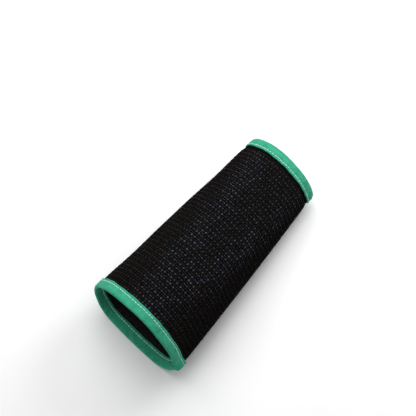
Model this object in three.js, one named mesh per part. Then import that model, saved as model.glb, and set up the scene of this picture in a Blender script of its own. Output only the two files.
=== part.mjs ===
// A cut resistant sleeve: a tapered tube of thick black cloth with a green tape folded over
// each end. It lies on its side, the elbow end at -X and the wrist end at +X, with the
// folded edge of its cloth along +Y and its seam along -Y. Millimetres, +Z up.

import * as THREE from 'three';

// Overall length over both tapes
const SLEEVE_LENGTH = 305;

// Section at the elbow end, over the cloth
const ELBOW_WIDTH = 146;
const ELBOW_HEIGHT = 120;
const ELBOW_WAIST = 48;
const ELBOW_REST_WIDTH = 80;

// Section at the wrist end, over the cloth
const WRIST_WIDTH = 113;
const WRIST_HEIGHT = 74;
const WRIST_WAIST = 28;
const WRIST_REST_WIDTH = 60;

// How far the middle of each end stands out towards the wrist, and its top past its bottom
const ELBOW_BOW = -3.5;
const ELBOW_LEAN = 16;
const WRIST_BOW = 3.2;
const WRIST_LEAN = -3.5;

// Cloth, tape and the clearance between them
const CLOTH_THICKNESS = 2;
const TAPE_WIDTH = 16;
const TAPE_THICKNESS = 1.1;
const CLEARANCE = 0.3;

// Stitch line sunk into the outer leaf of each tape
const STITCH_INSET = 4;
const GROOVE_WIDTH = 2.4;
const GROOVE_DEPTH = 0.5;

// Ridge where the two edges of the cloth are sewn together
const ELBOW_SEAM_RIDGE = 6.5;
const WRIST_SEAM_RIDGE = 2.7;
const SEAM_SPREAD = 9;

// Low folds along the top. Turns run from 0 at the folded edge over the top at 1 to the
// seam at 2, and a height is a share of the section's height where the fold runs.
const FOLDS = [
  { name: 'upper crest', elbowTurn: 1.12, wristTurn: 0.68, height: 0.018, spread: 0.2 },
  { name: 'middle hollow', elbowTurn: 1.12, wristTurn: 1.24, height: -0.02, spread: 0.24 },
  { name: 'lower crest', elbowTurn: 1.12, wristTurn: 1.78, height: 0.018, spread: 0.2 },
];

// Turns over which the folds fade out beside the folded edge and the seam
const FOLD_FADE = 0.3;

// Faceting: steps over the top, down the seam side, under the flat and up the folded side
const TOP_STEPS = 42;
const SEAM_SIDE_STEPS = 15;
const REST_STEPS = 4;
const FOLD_SIDE_STEPS = 12;
const CLOTH_STEPS = 14;
const ROUND_STEPS = 6;
const SLOT_STEPS = 3;

// Steps crowd together towards the seam, where the section turns fastest
const SEAM_CROWDING = 1.5;

// Share of the length over which the underside rises to sit on the tapes
const RISE_SHARE = 0.16;

// Radius of the tape's fold round the edge of the cloth
const FOLD_RADIUS = CLOTH_THICKNESS / 2 + CLEARANCE + TAPE_THICKNESS;

// The ridge turns no tighter than the tape's inner leaf can follow
const TIGHTEST_TURN = 2 * FOLD_RADIUS;

// A whole section is five turns, and normals are taken over a small step of one
const TURNS = 5;
const NORMAL_STEP = 0.001;

const black = { color: 0x171717, roughness: 0.75, metalness: 0 };
const green = { color: 0x48a690, roughness: 0.85, metalness: 0 };

const mix = THREE.MathUtils.lerp;
const smooth = THREE.MathUtils.smoothstep;

function bell(distance, spread) {
  return Math.exp(-((distance / spread) ** 2));
}

// Height of the underside: down on the surface in the middle, up by one leaf of tape at the ends
function underside(share) {
  const fromEnd = Math.min(share, 1 - share);
  const covered = TAPE_WIDTH / SLEEVE_LENGTH;
  return (CLEARANCE + TAPE_THICKNESS) * (1 - smooth(fromEnd, covered, covered + RISE_SHARE));
}

// Sizes of the section at a share of the length from the elbow end
function sectionSizes(share) {
  const half = mix(ELBOW_WIDTH, WRIST_WIDTH, share) / 2;
  return {
    half,
    centre: ELBOW_WIDTH / 2 - half,
    height: mix(ELBOW_HEIGHT, WRIST_HEIGHT, share),
    waist: mix(ELBOW_WAIST, WRIST_WAIST, share),
    rest: mix(ELBOW_REST_WIDTH, WRIST_REST_WIDTH, share) / 2,
    seam: mix(ELBOW_SEAM_RIDGE, WRIST_SEAM_RIDGE, share),
    under: underside(share),
  };
}

// Outward rise of the folds at a place on the top
function foldRise(share, turn, height) {
  let rise = 0;
  for (const fold of FOLDS) {
    const middle = mix(fold.elbowTurn, fold.wristTurn, share);
    rise += fold.height * height * bell(turn - middle, fold.spread);
  }
  return rise * smooth(Math.min(turn, 2 - turn), 0, FOLD_FADE);
}

// Outer face of the cloth. Turns 0 to 2 are the half ellipse over the top, 2 to 3 the quarter
// under the seam, 3 to 4 the flat that the sleeve lies on, and 4 to 5 the quarter back up.
function sectionPoint(share, turn) {
  const { half, centre, height, waist, rest, seam, under } = sectionSizes(share);
  const angle = (turn % 1) * Math.PI / 2;
  let y;
  let z;
  if (turn < 2) {
    const over = turn * Math.PI / 2;
    const rise = foldRise(share, turn, height);
    y = centre + (half + rise) * Math.cos(over);
    z = waist + (height - waist + rise) * Math.sin(over);
  } else if (turn < 3) {
    y = centre - rest - (half - rest) * Math.cos(angle);
    z = waist - (waist - under) * Math.sin(angle);
  } else if (turn < 4) {
    y = centre + rest * (2 * (turn - 3) - 1);
    z = under;
  } else {
    y = centre + rest + (half - rest) * Math.sin(angle);
    z = waist - (waist - under) * Math.cos(angle);
  }
  if (turn > 1 && turn < 3) {
    const spread = Math.max(SEAM_SPREAD, Math.sqrt(2 * seam * TIGHTEST_TURN));
    y -= seam * bell(z - waist, spread);
  }
  return new THREE.Vector2(y, z);
}

// A point at a distance along the sleeve from the elbow end, raised off the cloth's outer face
function sleevePoint(along, turn, raised) {
  const share = along / SLEEVE_LENGTH;
  const before = sectionPoint(share, (turn - NORMAL_STEP + TURNS) % TURNS);
  const after = sectionPoint(share, (turn + NORMAL_STEP) % TURNS);
  const tangent = after.sub(before).normalize();
  const place = sectionPoint(share, turn);
  const y = place.x + raised * tangent.y;
  const z = place.y - raised * tangent.x;

  const { half, centre, height } = sectionSizes(share);
  const across = 1 - ((y - centre) / half) ** 2;
  const up = z / height - 0.5;
  const elbowShift = ELBOW_BOW * across + ELBOW_LEAN * up;
  const wristShift = WRIST_BOW * across + WRIST_LEAN * up;
  const x = along - SLEEVE_LENGTH / 2 + mix(elbowShift, wristShift, share);
  return new THREE.Vector3(x, y, z);
}

// Turns of the points round every section, closer together beside the seam
function turnsAround() {
  const turns = [];
  for (let i = 0; i < TOP_STEPS; i += 1) {
    turns.push(2 - 2 * (1 - i / TOP_STEPS) ** SEAM_CROWDING);
  }
  for (let i = 0; i < SEAM_SIDE_STEPS; i += 1) {
    turns.push(2 + (i / SEAM_SIDE_STEPS) ** SEAM_CROWDING);
  }
  for (let i = 0; i < REST_STEPS; i += 1) {
    turns.push(3 + i / REST_STEPS);
  }
  for (let i = 0; i < FOLD_SIDE_STEPS; i += 1) {
    turns.push(4 + i / FOLD_SIDE_STEPS);
  }
  return turns;
}

// Closed mesh swept round the sleeve from a closed profile of points { along, raised }
function sweptRound(profile) {
  const turns = turnsAround();
  const positions = [];
  for (const { along, raised } of profile) {
    for (const turn of turns) {
      positions.push(...sleevePoint(along, turn, raised).toArray());
    }
  }
  const indices = [];
  for (let i = 0; i < profile.length; i += 1) {
    const ring = i * turns.length;
    const nextRing = ((i + 1) % profile.length) * turns.length;
    for (let j = 0; j < turns.length; j += 1) {
      const k = (j + 1) % turns.length;
      indices.push(ring + j, nextRing + k, nextRing + j);
      indices.push(ring + j, ring + k, nextRing + k);
    }
  }
  const geometry = new THREE.BufferGeometry();
  geometry.setAttribute('position', new THREE.Float32BufferAttribute(positions, 3));
  geometry.setIndex(indices);
  geometry.computeVertexNormals();
  return geometry;
}

// Tube of cloth from one tape's fold to the other
function clothProfile() {
  const start = FOLD_RADIUS;
  const end = SLEEVE_LENGTH - FOLD_RADIUS;
  const firstCovered = TAPE_WIDTH;
  const lastCovered = SLEEVE_LENGTH - TAPE_WIDTH;
  const outer = [{ along: start, raised: 0 }];
  for (let i = 0; i <= CLOTH_STEPS; i += 1) {
    outer.push({ along: mix(firstCovered, lastCovered, i / CLOTH_STEPS), raised: 0 });
  }
  outer.push({ along: end, raised: 0 });
  const inner = outer.map(({ along }) => ({ along, raised: -CLOTH_THICKNESS })).reverse();
  return [...outer, ...inner];
}

// Half circle round the cloth's edge, from a raised start through the free edge
function edgeArc(radius, fromAngle, toAngle, steps) {
  const arc = [];
  for (let i = 0; i <= steps; i += 1) {
    const angle = mix(fromAngle, toAngle, i / steps);
    arc.push({
      along: FOLD_RADIUS - radius * Math.cos(angle),
      raised: -CLOTH_THICKNESS / 2 + radius * Math.sin(angle),
    });
  }
  return arc;
}

// Tape folded over the elbow end: inner leaf, fold, outer leaf with its stitch groove
function tapeProfile() {
  const outside = CLEARANCE + TAPE_THICKNESS;
  const inside = -CLOTH_THICKNESS - outside;
  const slotRadius = FOLD_RADIUS - TAPE_THICKNESS;
  const soft = TAPE_THICKNESS / 2;
  const stitch = TAPE_WIDTH - STITCH_INSET;
  return [
    { along: TAPE_WIDTH, raised: inside + TAPE_THICKNESS },
    { along: TAPE_WIDTH, raised: inside },
    ...edgeArc(FOLD_RADIUS, -Math.PI / 2, Math.PI / 2, ROUND_STEPS),
    { along: stitch - GROOVE_WIDTH / 2, raised: outside },
    { along: stitch, raised: outside - GROOVE_DEPTH },
    { along: stitch + GROOVE_WIDTH / 2, raised: outside },
    { along: TAPE_WIDTH - soft, raised: outside },
    { along: TAPE_WIDTH, raised: outside - soft },
    { along: TAPE_WIDTH, raised: CLEARANCE },
    ...edgeArc(slotRadius, Math.PI / 2, -Math.PI / 2, SLOT_STEPS),
  ];
}

// The same profile turned end for end
function mirrored(profile) {
  return profile.map(({ along, raised }) => ({ along: SLEEVE_LENGTH - along, raised })).reverse();
}

function addPiece(group, name, profile, finish) {
  const mesh = new THREE.Mesh(sweptRound(profile), new THREE.MeshStandardMaterial(finish));
  mesh.name = name;
  group.add(mesh);
}

const sleeve = new THREE.Group();
addPiece(sleeve, 'sleeve_body', clothProfile(), black);
addPiece(sleeve, 'elbow_binding', tapeProfile(), green);
addPiece(sleeve, 'wrist_binding', mirrored(tapeProfile()), green);

// The origin is under the middle of the sleeve's box, on the surface that it lies on
const box = new THREE.Box3().setFromObject(sleeve);
const middle = box.getCenter(new THREE.Vector3());
sleeve.position.set(-middle.x, -middle.y, -box.min.z);

export default sleeve;
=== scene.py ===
"""Dresses the cut resistant sleeve: knitted cloth, bound ends, stitches, floor, light and camera.

Lengths are in metres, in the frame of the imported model. The sleeve lies on its side with its
elbow end at -X, its wrist end at +X and the seam of its cloth along -Y.
"""

from __future__ import annotations

import logging
import math
from dataclasses import dataclass, field
from enum import Enum

import bpy
import numpy as np
from bpy.types import Material, Node, NodeInputs, NodeOutputs, NodeSocket, NodeTree, Object
from mathutils import Matrix, Vector


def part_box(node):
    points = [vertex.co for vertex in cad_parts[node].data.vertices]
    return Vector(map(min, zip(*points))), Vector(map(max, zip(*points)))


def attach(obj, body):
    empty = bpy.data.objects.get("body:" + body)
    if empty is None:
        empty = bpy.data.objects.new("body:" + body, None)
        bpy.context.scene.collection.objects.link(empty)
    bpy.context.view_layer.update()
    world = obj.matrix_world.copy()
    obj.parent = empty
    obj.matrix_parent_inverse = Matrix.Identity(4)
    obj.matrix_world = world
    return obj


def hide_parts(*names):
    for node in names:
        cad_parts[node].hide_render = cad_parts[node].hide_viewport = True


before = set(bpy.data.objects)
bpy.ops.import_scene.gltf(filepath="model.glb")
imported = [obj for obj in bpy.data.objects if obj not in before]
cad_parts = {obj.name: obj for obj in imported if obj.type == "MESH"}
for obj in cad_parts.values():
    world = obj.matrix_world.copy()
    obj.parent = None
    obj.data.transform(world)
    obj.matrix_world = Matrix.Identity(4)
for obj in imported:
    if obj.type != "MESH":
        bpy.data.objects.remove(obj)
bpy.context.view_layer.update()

log = logging.getLogger("sleeve")

MM = 0.001
# How much of a direction, or of a length, counts as all of it
SQUARE_ON = 0.9

Array = np.ndarray
Colour = tuple[float, float, float]

# A whole section is five turns: 0 to 2 over the top, 2 to 3 under the seam, 3 to 4 flat on
# the floor and 4 to 5 back up to the folded edge
TURNS = 5.0
SEAM_TURN = 2.0
FLOOR_START = 3.0
FLOOR_END = 4.0

# UV maps count in decimetres of flat cloth
UV_UNIT = 0.1


def mix(first: Array, second: Array, share: Array) -> Array:
    """The value at a share of the way from first to second."""
    return first + (second - first) * share


def bell(distance: Array, spread: float) -> Array:
    """A smooth bump that is 1 at no distance and fades over the spread."""
    return np.exp(-((distance / spread) ** 2))


def smooth(value: Array, low: float, high: float) -> Array:
    """An S curve from 0 at low to 1 at high."""
    step = np.clip((value - low) / (high - low), 0.0, 1.0)
    return step * step * (3.0 - 2.0 * step)


def angle_of(turn: Array) -> Array:
    """A place round the section as an angle, a whole section being a full circle."""
    return turn * 2.0 * math.pi / TURNS


class End(Enum):
    """The two open ends of the sleeve."""

    ELBOW = "elbow"
    WRIST = "wrist"


class MeshPart(Enum):
    """What is selected in edit mode."""

    FACE = "polygons"
    EDGE = "edges"


@dataclass(frozen=True)
class SectionSizes:
    """Sizes of the sleeve's section at one of its ends.

    The bow is how far the middle of the end stands out towards the wrist, and the lean is how
    far its top stands past its bottom.
    """

    width: float
    height: float
    waist: float
    rest: float
    ridge: float
    bow: float
    lean: float


@dataclass(frozen=True)
class LongFold:
    """A long low fold along the top, its height a share of the section's height."""

    elbow_turn: float
    wrist_turn: float
    height: float
    spread: float


@dataclass(frozen=True)
class Ripple:
    """A slanting wave, a whole number of them round the sleeve.

    The length is that of one wave along the sleeve. A negative count or length slants the
    wave the other way.
    """

    round_count: int
    length: float
    height: float
    phase: float

    def at(self, along: Array, turn: Array, bend: Array = 0.0) -> Array:
        """Its height at a place on the sleeve, bent by an angle."""
        around = angle_of(self.round_count * turn)
        run = along * 2.0 * math.pi / self.length
        return self.height * np.sin(around + run + self.phase + bend)


@dataclass(frozen=True)
class SleeveForm:
    """The form that the cloth and both tapes follow."""

    length: float = 0.305
    elbow: SectionSizes = SectionSizes(0.146, 0.120, 0.048, 0.080, 0.0065, -0.0035, 0.016)
    wrist: SectionSizes = SectionSizes(0.113, 0.074, 0.028, 0.060, 0.0027, 0.0032, -0.0035)
    cloth: float = 2.0 * MM
    tape_width: float = 16.0 * MM
    tape_leaf: float = 1.4 * MM
    rise_share: float = 0.16
    ridge_spread: float = 9.0 * MM
    tightest_turn: float = 4.8 * MM
    fold_fade: float = 0.3
    belly: float = 1.7 * MM
    elbow_drawn_in: float = 0.4 * MM
    wrist_drawn_in: float = 1.3 * MM
    drawn_from: float = 13.0 * MM
    drawn_to: float = 26.0 * MM
    floor_fade: float = 0.5
    seam_calm: float = 0.3
    cloth_inset: float = 2.4 * MM
    folds: tuple[LongFold, ...] = (
        LongFold(1.12, 0.68, 0.018, 0.20),
        LongFold(1.12, 1.24, -0.020, 0.24),
        LongFold(1.12, 1.78, 0.018, 0.20),
    )
    ripples: tuple[Ripple, ...] = (
        Ripple(5, 0.150, 0.35 * MM, 0.4),
        Ripple(-9, 0.085, 0.20 * MM, 2.1),
        Ripple(14, 0.120, 0.14 * MM, 4.0),
    )
    shift: tuple[float, float, float] = (0.0, 0.0, 0.0)

    def between(self, name: str, share: Array) -> Array:
        """One of the section's sizes at a share of the length from the elbow end."""
        return mix(getattr(self.elbow, name), getattr(self.wrist, name), share)

    def middle(self, share: Array) -> tuple[Array, Array]:
        """Half the section's width, and where its middle is across the sleeve."""
        half = self.between("width", share) / 2.0
        return half, self.elbow.width / 2.0 - half

    def from_tape(self, along: Array) -> Array:
        """Distance from the inner edge of the nearer tape."""
        return np.minimum(along, self.length - along) - self.tape_width

    def fold_rise(self, share: Array, turn: Array) -> Array:
        """How far the long folds lift the cloth.

        Args:
            share: Share of the length from the elbow end.
            turn: Place round the section.

        Returns:
            The rise off the plain section.
        """
        rise = 0.0
        for one in self.folds:
            off_fold = turn - mix(one.elbow_turn, one.wrist_turn, share)
            rise = rise + one.height * self.between("height", share) * bell(off_fold, one.spread)
        return rise * smooth(np.minimum(turn, SEAM_TURN - turn), 0.0, self.fold_fade)

    def section(self, share: Array, turn: Array) -> tuple[Array, Array]:
        """The outer face of the cloth in one section.

        Args:
            share: Share of the length from the elbow end.
            turn: Place round the section, from 0 to 5.

        Returns:
            The place across the sleeve and the height.
        """
        half, centre = self.middle(share)
        height = self.between("height", share)
        waist = self.between("waist", share)
        rest = self.between("rest", share) / 2.0
        ridge = self.between("ridge", share) + self.belly * 4.0 * share * (1.0 - share)
        covered = self.tape_width / self.length
        from_end = np.minimum(share, 1.0 - share)
        under = self.tape_leaf * (1.0 - smooth(from_end, covered, covered + self.rise_share))
        over = turn * math.pi / 2.0
        quarter = np.mod(turn, 1.0) * math.pi / 2.0
        rise = self.fold_rise(share, turn)
        parts = [turn < SEAM_TURN, turn < FLOOR_START, turn < FLOOR_END]
        y = np.select(
            parts,
            [
                centre + (half + rise) * np.cos(over),
                centre - rest - (half - rest) * np.cos(quarter),
                centre + rest * (2.0 * (turn - FLOOR_START) - 1.0),
            ],
            centre + rest + (half - rest) * np.sin(quarter),
        )
        z = np.select(
            parts,
            [
                waist + (height - waist + rise) * np.sin(over),
                waist - (waist - under) * np.sin(quarter),
                under + 0.0 * turn,
            ],
            waist - (waist - under) * np.cos(quarter),
        )
        spread = np.maximum(self.ridge_spread, np.sqrt(2.0 * ridge * self.tightest_turn))
        on_seam_side = (turn > 1.0) & (turn < FLOOR_START)
        y = y - np.where(on_seam_side, ridge * bell(z - waist, spread), 0.0)
        return y, z

    def off_floor(self, turn: Array) -> Array:
        """0 where the sleeve lies flat and 1 well away from there."""
        away = np.where(turn < FLOOR_START, FLOOR_START - turn, turn - FLOOR_END)
        return smooth(away, 0.0, self.floor_fade)

    def unevenness(self, share: Array, turn: Array) -> Array:
        """The slight rise and fall of worked cloth, none at the seam or on the floor."""
        wave = sum(one.at(share * self.length, turn) for one in self.ripples)
        return wave * self.off_floor(turn) * smooth(np.abs(turn - SEAM_TURN), 0.0, self.seam_calm)

    def drawn_in(self, along: Array, turn: Array) -> Array:
        """How far the tapes pull the ends of the cloth in.

        Args:
            along: Distance from the elbow end.
            turn: Place round the section.

        Returns:
            The distance, inwards.
        """
        reach = (self.drawn_from, self.drawn_to)
        elbow = self.elbow_drawn_in * (1.0 - smooth(along, *reach))
        wrist = self.wrist_drawn_in * (1.0 - smooth(self.length - along, *reach))
        return (elbow + wrist) * self.off_floor(turn)

    def point(self, along: Array, turn: Array, raised: Array) -> Array:
        """Places on or off the cloth's outer face.

        Args:
            along: Distance along the sleeve from the elbow end.
            turn: Place round the section.
            raised: Distance off the face, outwards.

        Returns:
            An array of points, its last axis x, y and z.
        """
        given = (np.asarray(values, float) for values in (along, np.mod(turn, TURNS), raised))
        along, turn, raised = np.broadcast_arrays(*given)
        share = along / self.length
        step = 0.001
        before = self.section(share, np.mod(turn - step, TURNS))
        after = self.section(share, np.mod(turn + step, TURNS))
        run = after[0] - before[0]
        climb = after[1] - before[1]
        size = np.hypot(run, climb)
        off = raised + self.unevenness(share, turn) - self.drawn_in(along, turn)
        y, z = self.section(share, turn)
        y = y + off * climb / size
        z = z - off * run / size
        half, centre = self.middle(share)
        across = 1.0 - ((y - centre) / half) ** 2
        up = z / self.between("height", share) - 0.5
        elbow_shift = self.elbow.bow * across + self.elbow.lean * up
        wrist_shift = self.wrist.bow * across + self.wrist.lean * up
        x = along - self.length / 2.0 + mix(elbow_shift, wrist_shift, share)
        return np.stack([x, y, z], axis=-1) + np.asarray(self.shift)

    def arcs(self, along: float, raised: float = 0.0) -> tuple[Array, Array]:
        """Distances round the section from the folded edge.

        Args:
            along: Where the section is, from the elbow end.
            raised: Distance off the cloth's outer face.

        Returns:
            The turns and the distance of each.
        """
        turns = np.linspace(0.0, TURNS, 2001)
        points = self.point(along, turns, raised)
        steps = np.linalg.norm(np.diff(points, axis=0), axis=1)
        return turns, np.concatenate([[0.0], np.cumsum(steps)])

    def seated(self) -> SleeveForm:
        """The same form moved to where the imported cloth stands.

        Returns:
            The moved form.
        """
        low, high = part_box("sleeve_body")
        along = np.linspace(self.cloth_inset, self.length - self.cloth_inset, 80)[:, None]
        still = SleeveForm(ripples=(), belly=0.0, elbow_drawn_in=0.0, wrist_drawn_in=0.0)
        points = still.point(along, np.linspace(0.0, TURNS, 400)[None, :], 0.0).reshape(-1, 3)
        middle = (points.min(0) + points.max(0)) / 2.0
        target = (low + high) / 2.0
        return SleeveForm(shift=(target.x - middle[0], target.y - middle[1], 0.0))


def linked(name: str, data: object) -> Object:
    """A new object of the scene with its mesh, light or camera."""
    made = bpy.data.objects.new(name, data)
    bpy.context.collection.objects.link(made)
    return made


def new_object(name: str, points: Array, faces: list[tuple[int, ...]]) -> Object:
    """A smooth mesh object in the scene, at the origin.

    Args:
        name: Name of the object and its mesh.
        points: Its vertices.
        faces: Its faces as numbers of vertices.

    Returns:
        The object.
    """
    mesh = bpy.data.meshes.new(name)
    mesh.from_pydata(points.reshape(-1, 3).tolist(), [], faces)
    mesh.update()
    mesh.polygons.foreach_set("use_smooth", [True] * len(mesh.polygons))
    return linked(name, mesh)


def face_outwards(piece: Object) -> None:
    """Turns every face of a closed piece outwards.

    Args:
        piece: The piece, which is left selected alone and active.
    """
    bpy.ops.object.select_all(action="DESELECT")
    piece.select_set(True)
    bpy.context.view_layer.objects.active = piece
    bpy.ops.object.mode_set(mode="EDIT")
    bpy.ops.mesh.select_all(action="SELECT")
    bpy.ops.mesh.normals_make_consistent(inside=False)
    bpy.ops.object.mode_set(mode="OBJECT")


def new_cylinder(sides: int, radius: float, depth: float, **stand: tuple) -> Object:
    """A cylinder to model from, with its place and turn in its mesh.

    Args:
        sides: Number of its sides.
        radius: Its radius.
        depth: Its length.
        stand: Its location and rotation.

    Returns:
        The cylinder, selected alone.
    """
    bpy.ops.object.select_all(action="DESELECT")
    bpy.ops.mesh.primitive_cylinder_add(vertices=sides, radius=radius, depth=depth, **stand)
    bpy.ops.object.transform_apply()
    return bpy.context.active_object


def edit_parts(piece: Object, kind: MeshPart, chosen: list[bool]) -> None:
    """Opens a piece in edit mode with only some of its faces or edges selected.

    Args:
        piece: The active piece.
        kind: What is selected.
        chosen: Whether each face or edge is.
    """
    bpy.ops.object.mode_set(mode="EDIT")
    bpy.ops.mesh.select_all(action="DESELECT")
    bpy.ops.object.mode_set(mode="OBJECT")
    getattr(piece.data, kind.value).foreach_set("select", chosen)
    bpy.ops.object.mode_set(mode="EDIT")
    bpy.ops.mesh.select_mode(type=kind.name)


def swept_round(name: str, rows: Array, around: Array, profile: Array) -> Object:
    """A closed wall swept round the sleeve, with a UV map of its flat cloth.

    Args:
        name: Name of the object.
        rows: Points, one row for each point of the closed profile.
        around: Distance round the sleeve of every column, with the full round as a last one.
        profile: Distance along the profile of every row, with the full length as a last one.

    Returns:
        The object.
    """
    row_count, column_count = rows.shape[:2]
    i, j = np.meshgrid(np.arange(row_count), np.arange(column_count), indexing="ij")
    i, j = i.ravel(), j.ravel()
    corner_rows = np.stack([i, i + 1, i + 1, i], axis=1)
    corner_columns = np.stack([j, j, j + 1, j + 1], axis=1)
    faces = (corner_rows % row_count) * column_count + corner_columns % column_count
    piece = new_object(name, rows, faces.tolist())
    layer = piece.data.uv_layers.new(name="flat_cloth")
    uv = np.stack([around[corner_columns], profile[corner_rows]], axis=-1) / UV_UNIT
    layer.data.foreach_set("uv", uv.reshape(-1))
    face_outwards(piece)
    return piece


def sizes_of(piece: Object) -> str:
    """The number of faces and the box of a piece, for the log."""
    spans = piece.dimensions * 1000.0
    return f"{len(piece.data.polygons)} faces, {spans[0]:.1f} x {spans[1]:.1f} x {spans[2]:.1f} mm"


def joined_copies(name: str, pattern: Object, points: Array) -> Object:
    """One mesh of many copies of a small modelled shape.

    Args:
        name: Name of the joined object.
        pattern: The shape, which is removed.
        points: The places of its vertices in every copy.

    Returns:
        The joined object.
    """
    faces = [tuple(face.vertices) for face in pattern.data.polygons]
    smoothed = [face.use_smooth for face in pattern.data.polygons]
    per_copy = len(pattern.data.vertices)
    copies = len(points)
    joined = [
        tuple(vertex + first for vertex in face)
        for first in range(0, copies * per_copy, per_copy)
        for face in faces
    ]
    piece = new_object(name, points, joined)
    piece.data.polygons.foreach_set("use_smooth", smoothed * copies)
    bpy.data.objects.remove(pattern, do_unlink=True)
    return piece


def vertices_of(pattern: Object) -> Array:
    """The vertices of a modelled shape."""
    return np.array([vertex.co[:] for vertex in pattern.data.vertices])


def copied_onto(
    name: str, pattern: Object, places: Array, directions: tuple[Array, ...], scales: Array
) -> Object:
    """Copies of a small modelled shape, set on a surface and joined.

    Args:
        name: Name of the joined object.
        pattern: The shape, which is removed.
        places: Where each copy stands.
        directions: Directions of the shape's x, y and z at each place.
        scales: Size of each copy.

    Returns:
        The joined object.
    """
    spots = vertices_of(pattern)[None, :, :] * scales[:, None, None]
    points = places[:, None, :]
    for axis, direction in enumerate(directions):
        points = points + spots[..., axis : axis + 1] * direction[:, None, :]
    return joined_copies(name, pattern, points)


def unit(vectors: Array) -> Array:
    """The same directions at a length of one."""
    return vectors / np.linalg.norm(vectors, axis=-1, keepdims=True)


def facings(form: SleeveForm, along: Array, turn: Array) -> tuple[Array, Array, Array]:
    """Directions on the cloth's face.

    Args:
        form: The sleeve's form.
        along: Distances from the elbow end.
        turn: Places round the section.

    Returns:
        The directions along the sleeve, across it against the turns, and outwards.
    """
    step = 0.2 * MM
    lengthways = unit(form.point(along + step, turn, 0.0) - form.point(along - step, turn, 0.0))
    step = 0.002
    round_about = unit(form.point(along, turn + step, 0.0) - form.point(along, turn - step, 0.0))
    outwards = unit(np.cross(round_about, lengthways))
    sideways = np.cross(outwards, lengthways)
    return lengthways, sideways, outwards


def add_node(
    tree: NodeTree, kind: str, inputs: dict[str | int, object], **settings: object
) -> Node:
    """A shader node with its settings made and its inputs fed.

    Args:
        tree: The tree that it goes into.
        kind: Its type, without the leading ShaderNode.
        inputs: Another node's output or a plain value for each input.
        settings: Properties of the node.

    Returns:
        The node.
    """
    node = tree.nodes.new("ShaderNode" + kind)
    for label, value in settings.items():
        setattr(node, label, value)
    for label, value in inputs.items():
        if isinstance(value, NodeSocket):
            tree.links.new(value, node.inputs[label])
        else:
            node.inputs[label].default_value = value
    return node


def maths(tree: NodeTree, operation: str, *values: object) -> NodeSocket:
    """The result of a Math node, its inputs fed in order."""
    return add_node(tree, "Math", dict(enumerate(values)), operation=operation).outputs[0]


def paint(tree: NodeTree, shader: Node, shades: dict[str, object]) -> None:
    """Mixes two colours, A and B, into the shader's own by a factor."""
    colour = add_node(tree, "Mix", shades, data_type="RGBA")
    tree.links.new(colour.outputs["Result"], shader.inputs["Base Color"])


class ShaderEffects:
    """Node groups that more than one finish uses."""

    def __init__(self) -> None:
        """Builds both groups."""
        self.weave = self._weave()
        self.mottle = self._mottle()

    @staticmethod
    def _group(
        name: str, inputs: dict[str, float], output: str
    ) -> tuple[NodeTree, NodeOutputs, NodeInputs]:
        """An empty group with a vector input, number inputs and one number output.

        Args:
            name: Name of the group.
            inputs: Its number inputs and their first values.
            output: Name of its output.

        Returns:
            The group, the sockets of what comes in and those of what goes out.
        """
        tree = bpy.data.node_groups.new(name, "ShaderNodeTree")
        tree.interface.new_socket("Vector", in_out="INPUT", socket_type="NodeSocketVector")
        number = {"socket_type": "NodeSocketFloat"}
        for label, value in inputs.items():
            tree.interface.new_socket(label, in_out="INPUT", **number).default_value = value
        tree.interface.new_socket(output, in_out="OUTPUT", **number)
        source = tree.nodes.new("NodeGroupInput")
        result = tree.nodes.new("NodeGroupOutput")
        return tree, source.outputs, result.inputs

    def _weave(self) -> NodeTree:
        """Crossing threads: bumps in rows and columns, a little uneven.

        Returns:
            The group.
        """
        inputs = {"Across": 200.0, "Along": 200.0, "Uneven": 0.2}
        tree, given, result = self._group("crossing_threads", inputs, "Height")
        split = add_node(tree, "SeparateXYZ", {0: given["Vector"]})
        waves = []
        for axis, count in (("X", "Across"), ("Y", "Along")):
            scaled = maths(tree, "MULTIPLY", split.outputs[axis], given[count])
            waves.append(maths(tree, "SINE", scaled))
        crossing = maths(tree, "MULTIPLY", *waves)
        fuzz = {"Vector": given["Vector"], "Scale": 160.0, "Detail": 2.0}
        noise = add_node(tree, "TexNoise", fuzz)
        weighted = maths(tree, "MULTIPLY", noise.outputs["Fac"], given["Uneven"])
        crossing_share = 0.5
        height = maths(tree, "MULTIPLY_ADD", crossing, crossing_share, weighted)
        tree.links.new(height, result["Height"])
        return tree

    def _mottle(self) -> NodeTree:
        """Slow and quick changes of tone over a surface, from 0 to 1.

        Returns:
            The group.
        """
        tree, given, result = self._group("uneven_tone", {"Scale": 40.0}, "Tone")
        size = {"Scale": given["Scale"], "Detail": 5.0, "Roughness": 0.6}
        noise = add_node(tree, "TexNoise", {"Vector": given["Vector"], **size})
        span = {"From Min": 0.36, "From Max": 0.64}
        reach = add_node(tree, "MapRange", {"Value": noise.outputs["Fac"], **span})
        tree.links.new(reach.outputs["Result"], result["Tone"])
        return tree


class Coordinates(Enum):
    """What a finish is laid out by."""

    FLAT_CLOTH = "UV"
    PIECE = "Object"


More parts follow.
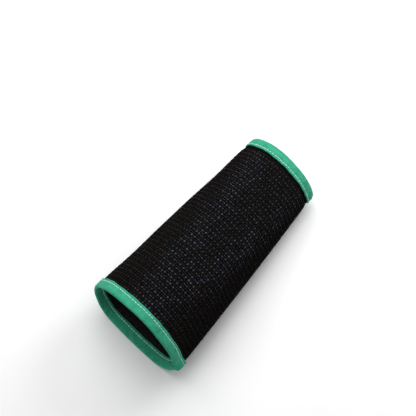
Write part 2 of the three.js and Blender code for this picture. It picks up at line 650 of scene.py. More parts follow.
@dataclass(frozen=True, kw_only=True)
class Finish:
    """A matte finish of uneven gloss, with a relief of woven threads where it has one.

    The pitch is that of the threads across and along, in the unit of its coordinates.
    """

    name: str
    light: Colour
    coordinates: Coordinates
    tone_scale: float
    roughness: tuple[float, float]
    specular: float
    pitch: tuple[float, float] = (0.01, 0.01)
    bump: float = 0.0
    depth: float = 0.2 * MM
    sheen: float = 0.0
    sheen_tint: Colour = (1.0, 1.0, 1.0)

    def dye(self, tree: NodeTree, shader: Node, tone: NodeSocket) -> None:
        """Gives the shader its colour, each kind of finish in its own way."""
        raise NotImplementedError

    def material(self, effects: ShaderEffects) -> Material:
        """The finish as a material.

        Args:
            effects: The shared node groups.

        Returns:
            The material.
        """
        made = bpy.data.materials.new(self.name)
        made.use_nodes = True
        made.diffuse_color = (*self.light, 1.0)
        tree = made.node_tree
        shader = tree.nodes["Principled BSDF"]
        shader.inputs["Specular IOR Level"].default_value = self.specular
        shader.inputs["Sheen Weight"].default_value = self.sheen
        shader.inputs["Sheen Tint"].default_value = (*self.sheen_tint, 1.0)
        where = add_node(tree, "TexCoord", {}).outputs[self.coordinates.value]
        mottle = {"Scale": self.tone_scale, "Vector": where}
        tone = add_node(tree, "Group", mottle, node_tree=effects.mottle).outputs["Tone"]
        least, most = self.roughness
        gloss = add_node(tree, "MapRange", {"Value": tone, "To Min": least, "To Max": most})
        tree.links.new(gloss.outputs["Result"], shader.inputs["Roughness"])
        self.dye(tree, shader, tone)
        if self.bump:
            across, along = (2.0 * math.pi / pitch for pitch in self.pitch)
            weave = {"Across": across, "Along": along, "Vector": where}
            height = add_node(tree, "Group", weave, node_tree=effects.weave).outputs["Height"]
            raised = {"Strength": self.bump, "Distance": self.depth, "Height": height}
            relief = add_node(tree, "Bump", raised)
            tree.links.new(relief.outputs["Normal"], shader.inputs["Normal"])
        return made


@dataclass(frozen=True, kw_only=True)
class ShadedFinish(Finish):
    """A finish that goes from a dark to a light colour with its tone."""

    dark: Colour

    def dye(self, tree: NodeTree, shader: Node, tone: NodeSocket) -> None:
        """Colours the shader from dark to light with the tone."""
        paint(tree, shader, {"Factor": tone, "A": (*self.dark, 1.0), "B": (*self.light, 1.0)})


@dataclass(frozen=True, kw_only=True)
class PaintedHighlightYarn(Finish):
    """Yarn with a glossy coat and a painted highlight where its glint is high, its colour a little
    different in every crown.

    The crowns carry two attributes: the glint sets the coat and, as a painted highlight, how far
    the colour goes from the dull to the bright row; the tint picks the colour from each row, and
    is pulled to the darkest dull colour on the seam side as painted shade.
    """

    dull: tuple[Colour, ...]
    bright: tuple[Colour, ...]
    coat: float
    coat_roughness: float

    @staticmethod
    def row(tree: NodeTree, colours: tuple[Colour, ...], tint: NodeSocket) -> NodeSocket:
        """One row of colours, picked from by the tint.

        Args:
            tree: The material's nodes.
            colours: The colours, at even steps of the tint.
            tint: A value from 0 to 1.

        Returns:
            The output with the picked colour.
        """
        ramp = add_node(tree, "ValToRGB", {"Fac": tint})
        stops = ramp.color_ramp.elements
        while len(stops) < len(colours):
            stops.new(0.5)
        for number, colour in enumerate(colours):
            stops[number].position = number / (len(colours) - 1)
            stops[number].color = (*colour, 1.0)
        return ramp.outputs["Color"]

    def dye(self, tree: NodeTree, shader: Node, tone: NodeSocket) -> None:
        """Colours the shader by the crowns' tint and glint, with painted highlight and shade, and
        gives it its glossy coat.

        Args:
            tree: The material's nodes.
            shader: Its shader.
            tone: Not used: the yarn's colour doesn't follow the uneven tone.
        """
        tint, glint = (
            add_node(tree, "Attribute", {}, attribute_name=name).outputs["Fac"]
            for name in ("tint", "glint")
        )
        dull, bright = (self.row(tree, colours, tint) for colours in (self.dull, self.bright))
        paint(tree, shader, {"Factor": glint, "A": dull, "B": bright})
        tree.links.new(maths(tree, "MULTIPLY", glint, self.coat), shader.inputs["Coat Weight"])
        shader.inputs["Coat Roughness"].default_value = self.coat_roughness


GROUND_KNIT = ShadedFinish(
    name="black_ground_knit",
    dark=(0.0006, 0.0006, 0.0006),
    light=(0.0090, 0.0079, 0.0069),
    coordinates=Coordinates.FLAT_CLOTH,
    tone_scale=40.0,
    roughness=(0.75, 0.95),
    specular=0.0,
    pitch=(0.0095, 0.0122),
    bump=0.6,
    depth=0.25 * MM,
)
INNER_KNIT = ShadedFinish(
    name="black_inner_knit",
    dark=(0.0075, 0.0070, 0.0066),
    light=(0.0210, 0.0195, 0.0180),
    coordinates=Coordinates.FLAT_CLOTH,
    tone_scale=30.0,
    roughness=(0.75, 0.95),
    specular=0.06,
    pitch=(0.0265, 0.0347),
    bump=0.8,
    depth=0.4 * MM,
)
CROWN_YARN = PaintedHighlightYarn(
    name="black_crown_yarn",
    light=(0.017, 0.024, 0.050),
    coordinates=Coordinates.PIECE,
    tone_scale=60.0,
    roughness=(0.65, 0.85),
    specular=0.02,
    # The dull row is the yarn's own colours, picked at random; the second, darkest one is where
    # the seam side is pulled as painted shade
    dull=(
        (0.0250, 0.0196, 0.0143),
        (0.0076, 0.0067, 0.0059),
        (0.0175, 0.0166, 0.0188),
        (0.0113, 0.0104, 0.0097),
    ),
    # The bright row is a painted highlight: the bluish colours a crown takes as its glint rises
    bright=(
        (0.054, 0.050, 0.051),
        (0.029, 0.042, 0.080),
        (0.025, 0.051, 0.074),
        (0.050, 0.042, 0.080),
    ),
    coat_roughness=0.36,
    coat=0.6,
)
GREEN_TAPE = ShadedFinish(
    name="green_woven_tape",
    dark=(0.024, 0.268, 0.156),
    light=(0.049, 0.368, 0.228),
    coordinates=Coordinates.FLAT_CLOTH,
    tone_scale=14.0,
    roughness=(0.70, 0.90),
    specular=0.10,
    pitch=(0.0070, 0.0080),
    bump=0.45,
    depth=0.15 * MM,
    sheen=0.015,
    sheen_tint=(0.7, 1.0, 0.9),
)
PALE_THREAD = ShadedFinish(
    name="pale_sewing_thread",
    dark=(0.56, 0.82, 0.76),
    light=(0.80, 0.96, 0.93),
    coordinates=Coordinates.PIECE,
    tone_scale=300.0,
    roughness=(0.50, 0.75),
    specular=0.35,
)
BLACK_THREAD = ShadedFinish(
    name="black_sewing_thread",
    dark=(0.008, 0.008, 0.009),
    light=(0.016, 0.016, 0.018),
    coordinates=Coordinates.PIECE,
    tone_scale=300.0,
    roughness=(0.45, 0.70),
    specular=0.3,
)
FLOOR_PAPER = ShadedFinish(
    name="pale_paper_floor",
    dark=(0.93, 0.93, 0.93),
    light=(0.96, 0.96, 0.96),
    coordinates=Coordinates.PIECE,
    tone_scale=3.0,
    roughness=(0.85, 0.95),
    specular=0.1,
)


def give_finish(piece: Object, effects: ShaderEffects, *finishes: Finish) -> None:
    """Puts finishes on a piece, each made once for all pieces that share it.

    Args:
        piece: The piece.
        effects: The shared node groups.
        finishes: The finishes, in the order of the material slots.
    """
    piece.data.materials.clear()
    for finish in finishes:
        made = bpy.data.materials.get(finish.name) or finish.material(effects)
        piece.data.materials.append(made)


@dataclass(frozen=True)
class StitchRow:
    """A row of stitches that follows a line on the sleeve.

    Each end step is how far the thread goes on and how narrow it gets, as shares of its
    thickness.
    """

    stitch: float = 3.9 * MM
    gap: float = 0.9 * MM
    thickness: float = 0.82 * MM
    end_steps: tuple[tuple[float, float], ...] = ((0.30, 0.80), (0.20, 0.45))

    def pattern(self) -> Object:
        """One straight stitch along x, rounded at both ends.

        Returns:
            The stitch, at the origin.
        """
        middle = self.stitch - self.thickness
        thread = new_cylinder(6, self.thickness / 2.0, middle, rotation=(0.0, math.pi / 2.0, 0.0))
        for side in (-1.0, 1.0):
            ends = [face.normal.x * side > SQUARE_ON for face in thread.data.polygons]
            edit_parts(thread, MeshPart.FACE, ends)
            for out, narrow in self.end_steps:
                bpy.ops.mesh.extrude_region_move(
                    TRANSFORM_OT_translate={"value": (side * out * self.thickness, 0.0, 0.0)}
                )
                bpy.ops.transform.resize(
                    value=(1.0, narrow, narrow),
                    center_override=(side * middle / 2.0, 0.0, 0.0),
                )
            bpy.ops.object.mode_set(mode="OBJECT")
        ends = np.array([edge.vertices[:] for edge in thread.data.edges])
        spans = np.ptp(vertices_of(thread)[ends, 0], axis=1)
        edit_parts(thread, MeshPart.EDGE, (spans > middle * SQUARE_ON).tolist())
        bpy.ops.mesh.subdivide(number_cuts=2)
        bpy.ops.object.mode_set(mode="OBJECT")
        bpy.ops.object.shade_smooth()
        return thread


@dataclass(frozen=True)
class CrownKind:
    """One kind of crown: a low pad of yarn, longest along the sleeve.

    Its sizes are those before it is narrowed: all over where it has no shoulder, and above
    its shoulder where it has one. The shoulder is a share of its height, and its base lies
    that much lower.
    """

    name: str
    length: float
    width: float
    height: float
    sides: int
    shoulder: float = 0.0
    narrowed: float = 0.5

    def pattern(self) -> Object:
        """The pad, smooth all over but for its base.

        Returns:
            The pad, at the origin.
        """
        pad = new_cylinder(self.sides, 0.5, 1.0, location=(0.0, 0.0, 0.5))
        bpy.ops.object.shade_smooth()
        for face in pad.data.polygons:
            face.select = face.normal.z > SQUARE_ON
            face.use_smooth = face.normal.z > -SQUARE_ON
        # The corners stay selected all over, so this moves or narrows the whole pad. Where
        # there is a shoulder, the extrusion also leaves faces inside the pad, out of sight
        bpy.ops.object.mode_set(mode="EDIT")
        bpy.ops.mesh.select_mode(type="FACE")
        if self.shoulder:
            rise = (0.0, 0.0, self.shoulder)
            bpy.ops.transform.translate(value=(0.0, 0.0, -self.shoulder))
            bpy.ops.mesh.extrude_region_move(TRANSFORM_OT_translate={"value": rise})
        size = (self.narrowed, self.narrowed, 1.0)
        bpy.ops.transform.resize(value=size, center_override=(0.0, 0.0, 1.0))
        bpy.ops.object.mode_set(mode="OBJECT")
        pad.scale = (self.length, self.width, self.height)
        bpy.ops.object.transform_apply()
        return pad


@dataclass(frozen=True)
class Crest:
    """A long crest of the top, its place round the section given at shares of the length."""

    shares: tuple[float, ...]
    turns: tuple[float, ...]
    spread: float

    def at(self, share: Array) -> Array:
        """The crest's place round the section."""
        return np.interp(share, self.shares, self.turns)


@dataclass(frozen=True)
class GlossAndPaintedHighlight:
    """Where the crowns get a glossy coat and a painted highlight: along both crests, less between
    them, in slow patches.
    """

    upper: Crest = Crest(
        (0.06, 0.25, 0.50, 0.70, 0.85, 0.95), (1.00, 0.93, 0.88, 0.82, 0.76, 0.70), 0.15
    )
    lower: Crest = Crest(
        (0.06, 0.18, 0.29, 0.41, 0.74, 0.95), (1.12, 1.21, 1.29, 1.38, 1.48, 1.56), 0.115
    )
    lower_elbow: float = 0.68
    lower_wrist: float = 0.20
    lower_fade: tuple[float, float] = (0.35, 0.8)
    # Between the crests the top gets a weaker painted highlight too, which lightens it
    between: float = 0.27
    between_rise: float = 0.2
    between_fall: tuple[float, float] = (0.1, 0.4)
    everywhere: float = 0.04
    patchiness: float = 0.38
    wide_patches: Ripple = Ripple(11, 2.0 * math.pi * 10.0 * MM, 1.0, 0.8)
    small_patches: Ripple = Ripple(23, -2.0 * math.pi * 5.5 * MM, 1.0, 0.0)
    wide_share: float = 0.6
    patch_bend: float = 1.2

    def on_crests(self, share: Array, turn: Array) -> Array:
        """How much glossy coat and painted highlight the crowns get on the crests and between
        them.

        Args:
            share: Share of the length from the elbow end.
            turn: Place round the section.

        Returns:
            A value from 0 to 1.
        """
        upper, lower = self.upper.at(share), self.lower.at(share)
        on_upper = bell(turn - upper, self.upper.spread)
        fade = mix(self.lower_elbow, self.lower_wrist, smooth(share, *self.lower_fade))
        on_lower = bell(turn - lower, self.lower.spread) * fade
        risen = smooth(turn, upper, upper + self.between_rise)
        fallen = smooth(turn, lower + self.between_fall[0], lower + self.between_fall[1])
        between = self.between * risen * (1.0 - fallen)
        return np.clip(self.everywhere + on_upper + on_lower + between, 0.0, 1.0)

    def shine(self, form: SleeveForm, along: Array, turn: Array) -> Array:
        """How much glossy coat and painted highlight the yarn has at a place, with its patches.

        Args:
            form: The sleeve's form.
            along: Distance from the elbow end.
            turn: Place round the section.

        Returns:
            A value from 0 to 1.
        """
        wide = self.wide_patches.at(along, turn)
        small = self.small_patches.at(along, turn, self.patch_bend * wide)
        patches = 1.0 + self.patchiness * (self.wide_share * wide + small)
        return np.minimum(self.on_crests(along / form.length, turn) * patches, 1.0)


@dataclass
class ClothTube:
    """The black cloth: a wall of knit, its raised crowns and the stitches of its seam."""

    form: SleeveForm
    start: float = 2.6 * MM
    face_drop: float = 0.36 * MM
    ring_spacing: float = 3.0 * MM
    around_spacing: float = 2.6 * MM
    close_columns: int = 25
    close_reach: float = 4.8 * MM
    close_gap: float = 5.0 * MM
    seam_groove: float = 0.9 * MM
    seam_groove_spread: float = 0.8 * MM
    binding_pull: float = 0.5 * MM
    pull_reach: float = 7.0 * MM
    pull_ripples: int = 26
    pull_slant: float = 9.0
    small_crown: CrownKind = CrownKind("small_crowns", 2.35 * MM, 1.90 * MM, 0.32 * MM, 6)
    large_crown: CrownKind = CrownKind("large_crowns", 2.80 * MM, 2.25 * MM, 0.38 * MM, 7, 0.35)
    crown_along: float = 3.47 * MM
    crown_around: float = 2.65 * MM
    crown_jitter: float = 0.28 * MM
    crown_drift_limit: float = 2.0
    crown_sink: float = 0.08 * MM
    crown_lean: float = 0.18
    crown_size_spread: float = 0.10
    crown_size_limits: tuple[float, float] = (0.75, 1.2)
    crown_from_tape: float = 1.6 * MM
    crown_from_seam: float = 2.7 * MM
    slow_sway: Ripple = Ripple(7, 2.0 * math.pi * 17.0 * MM, 1.0, 0.0)
    quick_sway: Ripple = Ripple(15, -2.0 * math.pi * 9.0 * MM, 0.7, 1.7)
    row_sway: float = 0.34 * MM
    sway_fade: tuple[float, float] = (2.0 * MM, 12.0 * MM)
    gloss_and_painted_highlight: GlossAndPaintedHighlight = GlossAndPaintedHighlight()
    least_glint: float = 0.26
    glint_power: float = 1.15
    # Crowns on the seam side, turned away from the key light, are pulled towards the darkest dull
    # colour as painted shade
    painted_shade_tint: float = 1.0 / 3.0
    painted_shade_share: float = 0.8
    painted_shade_from: tuple[float, float] = (1.45, 1.80)
    seam_row: StitchRow = StitchRow(stitch=3.0 * MM, gap=1.0 * MM, thickness=0.55 * MM)
    seam_row_from_tape: float = 3.0 * MM
    seam_stitch_offset: float = 3.2 * MM
    seam_stitch_lift: float = 0.12 * MM
    seed: int = 11
    outer_rows: int = 0
    pieces: dict[str, Object] = field(default_factory=dict)

    def turns(self) -> Array:
        """Places round the section, close together at the seam.

        Returns:
            The places, from 0 to 5.
        """
        turns, arcs = self.form.arcs(self.form.length / 3.0)
        seam = np.interp(SEAM_TURN, turns, arcs)
        even = np.arange(0.0, arcs[-1], self.around_spacing)
        even = even[np.abs(even - seam) > self.close_gap]
        close = seam + np.linspace(-self.close_reach, self.close_reach, self.close_columns)
        return np.interp(np.sort(np.concatenate([even, close])), arcs, turns)

    def relief(self, along: Array, turn: Array) -> Array:
        """How far the face is drawn in, at the seam and beside the tapes.

        Args:
            along: Distance from the elbow end.
            turn: Place round the section.

        Returns:
            The depth.
        """
        share = along / self.form.length
        seam_y, seam_z = self.form.section(share, np.full_like(turn, SEAM_TURN))
        y, z = self.form.section(share, turn)
        groove = self.seam_groove * bell(np.hypot(y - seam_y, z - seam_z), self.seam_groove_spread)
        from_tape = np.maximum(self.form.from_tape(along), 0.0)
        drawn = self.binding_pull * bell(from_tape, self.pull_reach)
        ripple = 0.5 + 0.5 * np.sin(angle_of(turn) * self.pull_ripples + share * self.pull_slant)
        return groove + drawn * ripple * self.form.off_floor(turn)

    def face(self, along: Array, turn: Array) -> Array:
        """Height of the ground knit's outer face against the form."""
        return -self.face_drop - self.relief(along, turn)

    def build_wall(self) -> None:
        """Builds the wall of the tube, from inside one tape to inside the other."""
        form = self.form
        end = form.length - self.start
        rings = (end - self.start) / self.ring_spacing
        outer = np.linspace(self.start, end, round(rings) + 1)
        inner = np.linspace(end, self.start, round(rings / 2.0) + 1)
        self.outer_rows = len(outer)
        along = np.concatenate([outer, inner])[:, None]
        along, turn = np.broadcast_arrays(along, self.turns()[None, :])
        raised = self.face(along, turn)
        raised[self.outer_rows :] = -form.cloth
        rows = form.point(along, turn, raised)
        arc_turns, arcs = form.arcs(form.length / 2.0)
        around = np.append(np.interp(turn[0], arc_turns, arcs), arcs[-1])
        profile = np.append(along[:, 0], along[0, 0])
        self.pieces["wall"] = swept_round("knitted_cloth", rows, around, profile)

    def crown_places(self) -> tuple[Array, Array, Array]:
        """The lattice of crowns over the whole face.

        Returns:
            Distances along, places round, and whether each is one of the large ones.
        """
        form = self.form
        first = form.tape_width + self.crown_from_tape
        count = int((form.length - 2.0 * first) / self.crown_along)
        alongs, turns, large = [], [], []
        for row in range(count + 1):
            along = first + row * self.crown_along
            arc_turns, arcs = form.arcs(along, -self.face_drop)
            seam = np.interp(SEAM_TURN, arc_turns, arcs)
            whole = arcs[-1]
            for side, first_column, reach in ((1, 0, seam), (-1, 1, whole - seam)):
                last_column = int((reach - self.crown_from_seam) / self.crown_around)
                columns = np.arange(first_column, last_column + 1)
                distances = columns * self.crown_around * side
                turns.append(np.interp(np.mod(distances, whole), arcs, arc_turns))
                alongs.append(np.full(len(columns), along))
                large.append((row % 2 == 0) & (columns % 2 == 0))
        return np.concatenate(alongs), np.concatenate(turns), np.concatenate(large)

    def sway(self, along: Array, turn: Array) -> Array:
        """How far the rows of crowns wander along the sleeve, not at all beside the tapes."""
        waves = self.slow_sway.at(along, turn) + self.quick_sway.at(along, turn)
        return self.row_sway * waves * smooth(self.form.from_tape(along), *self.sway_fade)

    def build_crowns(self) -> None:
        """Builds the small and the large crowns, each kind one joined mesh."""
        form = self.form
        chance = np.random.default_rng(self.seed)
        along, turn, large = self.crown_places()
        per_round = TURNS / form.arcs(form.length / 2.0)[1][-1]
        limit = self.crown_drift_limit
        for kind, chosen in ((self.small_crown, ~large), (self.large_crown, large)):
            here, round_at = along[chosen], turn[chosen]
            count = len(here)
            drift = np.clip(chance.normal(0.0, 1.0, (2, count)), -limit, limit) * self.crown_jitter
            here = here + drift[0] + self.sway(here, round_at)
            round_at = round_at + drift[1] * per_round
            lengthways, sideways, outwards = facings(form, here, round_at)
            places = form.point(here, round_at, self.face(here, round_at) - self.crown_sink)
            lean = chance.normal(0.0, self.crown_lean, count)[:, None]
            tilted = unit(lengthways + lean * sideways)
            directions = (tilted, np.cross(outwards, tilted), outwards)
            scales = chance.normal(1.0, self.crown_size_spread, count)
            scales = np.clip(scales, *self.crown_size_limits)
            crowns = copied_onto(kind.name, kind.pattern(), places, directions, scales)
            # The glint gives each crown its glossy coat and, as a painted highlight, lifts its
            # colour towards the bright row: most along the crests, by a random share
            shares = mix(self.least_glint, 1.0, chance.random(count) ** self.glint_power)
            glint = self.gloss_and_painted_highlight.shine(form, here, round_at) * shares
            # Painted shade: on the seam side the tint is pulled towards the darkest dull colour
            on_seam_side = smooth(round_at, *self.painted_shade_from) * (
                1.0 - smooth(round_at, FLOOR_START, FLOOR_END)
            )
            plain = self.painted_shade_share * on_seam_side
            tint = mix(chance.random(count), self.painted_shade_tint, plain)
            per_copy = len(crowns.data.vertices) // count
            for label, values in (("glint", glint), ("tint", tint)):
                layer = crowns.data.attributes.new(label, "FLOAT", "POINT")
                layer.data.foreach_set("value", np.repeat(values, per_copy).astype(np.float32))
            self.pieces[kind.name] = crowns

    def build_seam_stitches(self) -> None:
        """Builds the black stitches on both sides of the seam."""
        form = self.form
        row = self.seam_row
        first = form.tape_width + self.seam_row_from_tape
        alongs, turns = [], []
        for along in np.arange(first, form.length - first, row.stitch + row.gap):
            arc_turns, arcs = form.arcs(along)
            seam = np.interp(SEAM_TURN, arc_turns, arcs)
            for side in (-1.0, 1.0):
                alongs.append(along)
                turns.append(np.interp(seam + side * self.seam_stitch_offset, arcs, arc_turns))
        along, turn = np.array(alongs), np.array(turns)
        places = form.point(along, turn, self.face(along, turn) + self.seam_stitch_lift)
        directions = facings(form, along, turn)
        name, even = "seam_stitches", np.ones(len(along))
        self.pieces[name] = copied_onto(name, row.pattern(), places, directions, even)

    def dress(self, effects: ShaderEffects) -> None:
        """Gives every piece its finish and its body, and hides the imported cloth.

        Args:
            effects: The shared node groups.
        """
        wall = self.pieces["wall"]
        columns = len(self.turns())
        inner_rows = np.arange(len(wall.data.polygons)) // columns >= self.outer_rows
        crowns = [self.pieces["small_crowns"], self.pieces["large_crowns"]]
        stitches = self.pieces["seam_stitches"]
        give_finish(wall, effects, GROUND_KNIT, INNER_KNIT)
        wall.data.polygons.foreach_set("material_index", inner_rows.astype(np.int32))
        for crown in crowns:
            give_finish(crown, effects, CROWN_YARN)
        give_finish(stitches, effects, BLACK_THREAD)
        for piece in (wall, *crowns, stitches):
            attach(piece, "root")
            log.info("%s: %s", piece.name, sizes_of(piece))
        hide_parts("sleeve_body")
        elbow_round = self.form.arcs(0.0)[1][-1]
        wrist_round = self.form.arcs(self.form.length)[1][-1]
        length = self.form.length - 2.0 * self.start
        cut = tuple(size * 1000.0 for size in (elbow_round, wrist_round, length))
        log.info("knitted_cloth: cut %.0f and %.0f by %.0f mm", *cut)


@dataclass(frozen=True)
class EdgeWave:
    """A wave round an end of the sleeve that bends with a slower one."""

    height: float
    count: float
    phase: float
    bend: float = 0.0
    bend_count: float = 0.0
    slant: float = 0.0

    def at(self, angle: Array, across: Array = 0.0) -> Array:
        """Its height at an angle round the end, slanted with the way across the tape."""
        bent = angle * self.count + self.bend * np.sin(angle * self.bend_count)
        return self.height * np.sin(bent + self.phase + self.slant * across)


@dataclass
class BoundEdge:
    """The green tape folded over one end, with its row of pale stitches.

    Each point of the rim is how far it stands out from the free edge, and a share from the
    leaf's underside at 0 to its face at 1. The ends of the face and the back are measured
    from that edge, and the start of the back from the fold. A stitch dives at its ends, and
    the lobes are the tape's swellings on both sides of its stitch line at the seam.
    """

    form: SleeveForm
    end: End
    seed: int
    around_spacing: float = 0.95 * MM
    measured_inset: float = 8.0 * MM
    top: float = 1.32 * MM
    bottom: float = -0.27 * MM
    stitch_line: float = 11.8 * MM
    edge_line: float = 15.3 * MM
    fold_centre: float = 2.5 * MM
    fold_out: float = 0.15 * MM
    fold_radius: float = 2.3 * MM
    set_out: float = 0.0
    rim: tuple[tuple[float, float], ...] = (
        (-0.15 * MM, 0.0),
        (0.05 * MM, 0.25),
        (0.02 * MM, 0.6),
        (-0.2 * MM, 0.88),
    )
    face_end: float = 0.6 * MM
    back_end: float = 3.0 * MM
    back_start: float = 0.4 * MM
    outer_points: int = 34
    fold_points: int = 15
    inner_points: int = 26
    back_points: int = 5
    strip_puff: float = 0.20 * MM
    leaf_puff: float = 0.30 * MM
    lobe: float = 0.8 * MM
    lobe_spread: float = 6.5 * MM
    groove: float = 0.48 * MM
    groove_at_holes: float = 0.25 * MM
    groove_at_seam: float = 0.35 * MM
    groove_spread: float = 0.85 * MM
    pucker: float = 0.19 * MM
    pucker_from: float = 0.8 * MM
    pucker_spread: float = 4.5 * MM
    pucker_slant: float = 2.4 * MM
    puckers: tuple[EdgeWave, ...] = (
        EdgeWave(1.0, 41.0, 0.0, 1.3, 7.0, 1.0),
        EdgeWave(0.7, 67.0, 1.0, 2.0, 5.0, -0.6),
        EdgeWave(0.5, 23.0, 0.5, slant=0.4),
    )
    on_floor: float = 0.15
    wander: float = 0.22 * MM
    wanderings: tuple[EdgeWave, ...] = (EdgeWave(1.0, 9.0, 0.6), EdgeWave(0.7, 21.0, 2.0))
    stitches: StitchRow = StitchRow()
    stitch_dive: float = 0.40 * MM
    stitch_lift: float = 0.16 * MM
    stitch_scatter: float = 0.08 * MM
    stitch_wander: float = 0.09 * MM
    stitch_lean: float = 0.035
    pieces: dict[str, Object] = field(default_factory=dict)

    def along(self, inset: Array) -> Array:
        """Distance from the elbow end of a place at an inset from this end."""
        from_end = inset - self.set_out
        return from_end if self.end is End.ELBOW else self.form.length - from_end

    def rounds(self) -> tuple[Array, Array, float, float]:
        """The tape's columns round the end.

        Returns:
            Turns, distances round, the whole distance and the distance of the seam.
        """
        turns, arcs = self.form.arcs(self.along(self.measured_inset), self.top)
        whole = arcs[-1]
        count = round(whole / self.around_spacing)
        distances = np.arange(count) * whole / count
        seam = float(np.interp(SEAM_TURN, turns, arcs))
        return np.interp(distances, arcs, turns), distances, whole, seam

    def stitch_count(self, whole: float) -> int:
        """Whole number of stitches round the end."""
        return round(whole / (self.stitches.stitch + self.stitches.gap))

    def puff(self, inset: Array, around: Array, turn: Array, whole: float, seam: float) -> Array:
        """How far the leaf's face stands out, with its stitch line, puckers and seam lobes.

        Args:
            inset: Distance from the free edge.
            around: Distance round the end.
            turn: The same place as a turn of the section.
            whole: The whole distance round.
            seam: Distance round of the seam.

        Returns:
            The height of the leaf's face over the cloth.
        """
        at_seam = bell(around - seam, self.lobe_spread)
        phase = around / whole * 2.0 * math.pi
        between_holes = 0.5 - 0.5 * np.cos(phase * self.stitch_count(whole))
        from_line = inset - self.stitch_line
        strip = np.clip(from_line / (self.edge_line - self.stitch_line), 0.0, 1.0)
        leaf = np.clip(-from_line / (self.stitch_line - self.fold_centre), 0.0, 1.0)
        rise = (self.strip_puff + self.lobe * at_seam) * np.sin(math.pi * strip)
        rise = rise + (self.leaf_puff + self.lobe * at_seam) * np.sin(math.pi * leaf)
        depth = self.groove + self.groove_at_holes * (1.0 - between_holes)
        groove = (depth + self.groove_at_seam * at_seam) * bell(from_line, self.groove_spread)
        pucker = sum(one.at(phase, from_line / self.pucker_slant) for one in self.puckers)
        reach = bell(np.maximum(np.abs(from_line) - self.pucker_from, 0.0), self.pucker_spread)
        rise = rise + self.pucker * pucker * reach
        return self.top - groove + rise * mix(self.on_floor, 1.0, self.form.off_floor(turn))

    def waver(self, around: Array, whole: float) -> Array:
        """How the tape's inner edge wanders."""
        angle = around / whole * 2.0 * math.pi
        return self.wander * sum(one.at(angle) for one in self.wanderings)

    def profile(self) -> tuple[Array, Array, Array]:
        """The closed outline of the folded tape.

        Returns:
            Insets, a share from the leaf's underside at 0 to its face at 1, and the side:
            1 for the outer leaf, -1 for the inner one and between them round the fold.
        """
        edge, centre = self.edge_line, self.fold_centre
        rim = [(edge + out, face) for out, face in self.rim]
        face_end = edge - self.face_end
        back_end, back_start = edge - self.back_end, centre + self.back_start
        bends = np.linspace(0.0, math.pi, self.fold_points)[1:-1]
        returns = np.linspace(math.pi, 0.0, self.back_points)
        beds = np.linspace(back_start, back_end, self.back_points)
        outer = [(inset, face, 1.0) for inset, face in rim]
        outer += [(inset, 1.0, 1.0) for inset in np.linspace(face_end, centre, self.outer_points)]
        fold = [(centre, 1.0, math.cos(angle)) for angle in bends]
        inner = [(inset, 1.0, -1.0) for inset in np.linspace(centre, face_end, self.inner_points)]
        inner += [(inset, face, -1.0) for inset, face in reversed(rim)]
        inner += [(inset, 0.0, -1.0) for inset in np.linspace(back_end, back_start, len(beds))]
        back = [(centre, 0.0, math.cos(angle)) for angle in returns]
        back += [(inset, 0.0, 1.0) for inset in beds]
        insets, faces, sides = zip(*(outer + fold + inner + back))
        return np.array(insets), np.array(faces), np.array(sides)

    def build_tape(self) -> None:
        """Builds the folded tape as one closed piece."""
        form = self.form
        turns, distances, whole, seam = self.rounds()
        insets, faces, sides = (column[:, None] for column in self.profile())
        around = distances[None, :]
        bend = np.sqrt(np.maximum(1.0 - sides**2, 0.0))
        near_edge = smooth(insets, self.stitch_line, self.edge_line)
        insets = insets + self.waver(around, whole) * near_edge
        puff = self.puff(insets, around, turns[None, :], whole, seam)
        height = self.bottom + (puff - self.bottom) * faces
        middle = -form.cloth / 2.0
        reach = height - middle
        inset = insets - np.minimum(reach * bend, self.fold_centre + self.fold_out)
        rows = form.point(self.along(inset), turns[None, :], middle + reach * sides)
        steps = np.linalg.norm(np.diff(rows[:, 0], axis=0, append=rows[:1, 0]), axis=1)
        profile = np.concatenate([[0.0], np.cumsum(steps)])
        name = f"{self.end.value}_tape"
        self.pieces["tape"] = swept_round(name, rows, np.append(distances, whole), profile)

    def build_stitches(self) -> None:
        """Builds the stitches of the outer leaf and the same on the inner one."""
        form = self.form
        turns, distances, whole, seam = self.rounds()
        count = self.stitch_count(whole)
        chance = np.random.default_rng(self.seed)
        shape = self.stitches.pattern()
        x, y, z = vertices_of(shape).T[:, None, :]
        arcs, arc_turns = np.append(distances, whole), np.append(turns, TURNS)
        middles = (np.arange(count) + 0.5) * whole / count
        middles = (middles + chance.normal(0.0, self.stitch_scatter, count))[:, None]
        middle = -form.cloth / 2.0
        points = []
        for side in (1.0, -1.0):
            wander = chance.normal(0.0, self.stitch_wander, (count, 1))
            lean = chance.normal(0.0, self.stitch_lean, (count, 1))
            around = middles + x
            inset = self.stitch_line + wander + lean * x + y
            turn = np.interp(np.mod(around, whole), arcs, arc_turns)
            bed = self.puff(np.full_like(around, self.stitch_line), middles, turn, whole, seam)
            share = np.abs(x) / (self.stitches.stitch / 2.0)
            height = bed + self.stitch_lift + z - self.stitch_dive * share**4
            raised = middle + (height - middle) * side
            points.append(form.point(self.along(inset), turn, raised))
        row = joined_copies(f"{self.end.value}_stitches", shape, np.concatenate(points))
        face_outwards(row)
        self.pieces["stitches"] = row

    def dress(self, effects: ShaderEffects) -> None:
        """Gives the tape and its stitches their finish, body and place.

        Args:
            effects: The shared node groups.
        """
        tape, row = self.pieces["tape"], self.pieces["stitches"]
        give_finish(tape, effects, GREEN_TAPE)
        give_finish(row, effects, PALE_THREAD)
        for piece in (tape, row):
            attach(piece, "root")
            log.info("%s: %s", piece.name, sizes_of(piece))
        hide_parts(f"{self.end.value}_binding")
        whole = self.rounds()[2]


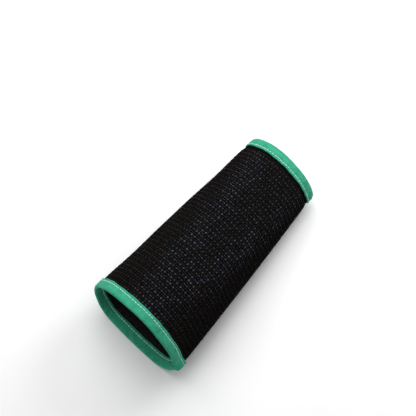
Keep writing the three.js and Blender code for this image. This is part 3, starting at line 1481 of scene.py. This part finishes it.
@dataclass(frozen=True)
class SoftLight:
    """A soft box that shines on the sleeve from one direction."""

    name: str
    direction: tuple[float, float, float]
    distance: float
    width: float
    depth: float
    power: float

    def place(self, target: Vector) -> None:
        """Puts the light in the scene.

        Args:
            target: The place that it is turned to.
        """
        lamp = bpy.data.lights.new(self.name, "AREA")
        lamp.shape = "RECTANGLE"
        lamp.size = self.width
        lamp.size_y = self.depth
        lamp.energy = self.power
        stand = linked(self.name, lamp)
        towards = Vector(self.direction).normalized()
        stand.location = target + towards * self.distance
        stand.rotation_euler = towards.to_track_quat("Z", "Y").to_euler()


@dataclass(frozen=True)
class Studio:
    """Floor, lights and camera."""

    azimuth: float = -47.44
    elevation: float = 70.44
    roll: float = 1.10
    distance: float = 1.300
    target: tuple[float, float, float] = (0.03804, 0.04963, 0.040)
    lens: float = 82.643
    sensor: float = 36.0
    floor_size: float = 8.0
    world: float = 0.28
    lit_point: tuple[float, float, float] = (0.0, 0.0, 0.05)
    lights: tuple[SoftLight, ...] = (
        SoftLight("key_light", (0.20, 0.44, 0.87), 1.8, 1.8, 1.8, 30.0),
        SoftLight("wrist_light", (0.78, -0.05, 0.60), 0.85, 0.4, 0.4, 3.5),
        SoftLight("back_light", (-0.75, 0.45, 0.60), 1.9, 1.0, 1.0, 3.5),
    )

    def place_floor(self, effects: ShaderEffects) -> None:
        """A pale floor under the sleeve.

        Args:
            effects: The shared node groups.
        """
        bpy.ops.object.select_all(action="DESELECT")
        bpy.ops.mesh.primitive_plane_add(size=self.floor_size, location=(0.0, 0.0, 0.0))
        floor = bpy.context.active_object
        floor.name = "floor"
        give_finish(floor, effects, FLOOR_PAPER)

    def place_camera(self) -> None:
        """A camera at the photograph's angle, rolled a little."""
        angles = (self.azimuth, self.elevation, self.roll)
        turn, rise, roll = (math.radians(angle) for angle in angles)
        back = Vector(
            (math.sin(turn) * math.cos(rise), -math.cos(turn) * math.cos(rise), math.sin(rise))
        )
        level = Vector((math.cos(turn), math.sin(turn), 0.0))
        upright = back.cross(level)
        right = math.cos(roll) * level + math.sin(roll) * upright
        up = math.cos(roll) * upright - math.sin(roll) * level
        lens = bpy.data.cameras.new("camera")
        lens.lens = self.lens
        lens.sensor_width = self.sensor
        camera = linked("camera", lens)
        turned = Matrix((right, up, back)).transposed().to_4x4()
        place = Vector(self.target) + back * self.distance
        camera.matrix_world = Matrix.Translation(place) @ turned
        bpy.context.scene.camera = camera

    def place_lights(self) -> None:
        """Soft boxes and a dim even surround."""
        for light in self.lights:
            light.place(Vector(self.lit_point))
        surround = bpy.data.worlds.new("surround")
        surround.use_nodes = True
        background = surround.node_tree.nodes["Background"]
        background.inputs["Color"].default_value = (1.0, 1.0, 1.0, 1.0)
        background.inputs["Strength"].default_value = self.world
        bpy.context.scene.world = surround
        bpy.context.scene.view_settings.view_transform = "Standard"


def main() -> None:
    """Builds and dresses the sleeve, then the studio round it."""
    studio = Studio()
    studio.place_camera()
    effects = ShaderEffects()
    form = SleeveForm().seated()
    log.info("form shifted by %s mm", [round(value * 1000.0, 2) for value in form.shift])
    studio.place_floor(effects)
    cloth = ClothTube(form)
    cloth.build_wall()
    cloth.build_crowns()
    cloth.build_seam_stitches()
    cloth.dress(effects)
    elbow = BoundEdge(form, End.ELBOW, seed=5)
    wrist = BoundEdge(form, End.WRIST, seed=6, set_out=0.9 * MM)
    for edge in (elbow, wrist):
        edge.build_tape()
        edge.build_stitches()
        edge.dress(effects)
    studio.place_lights()


if __name__ == "__main__":
    logging.basicConfig(level=logging.INFO, format="%(message)s")
    main()
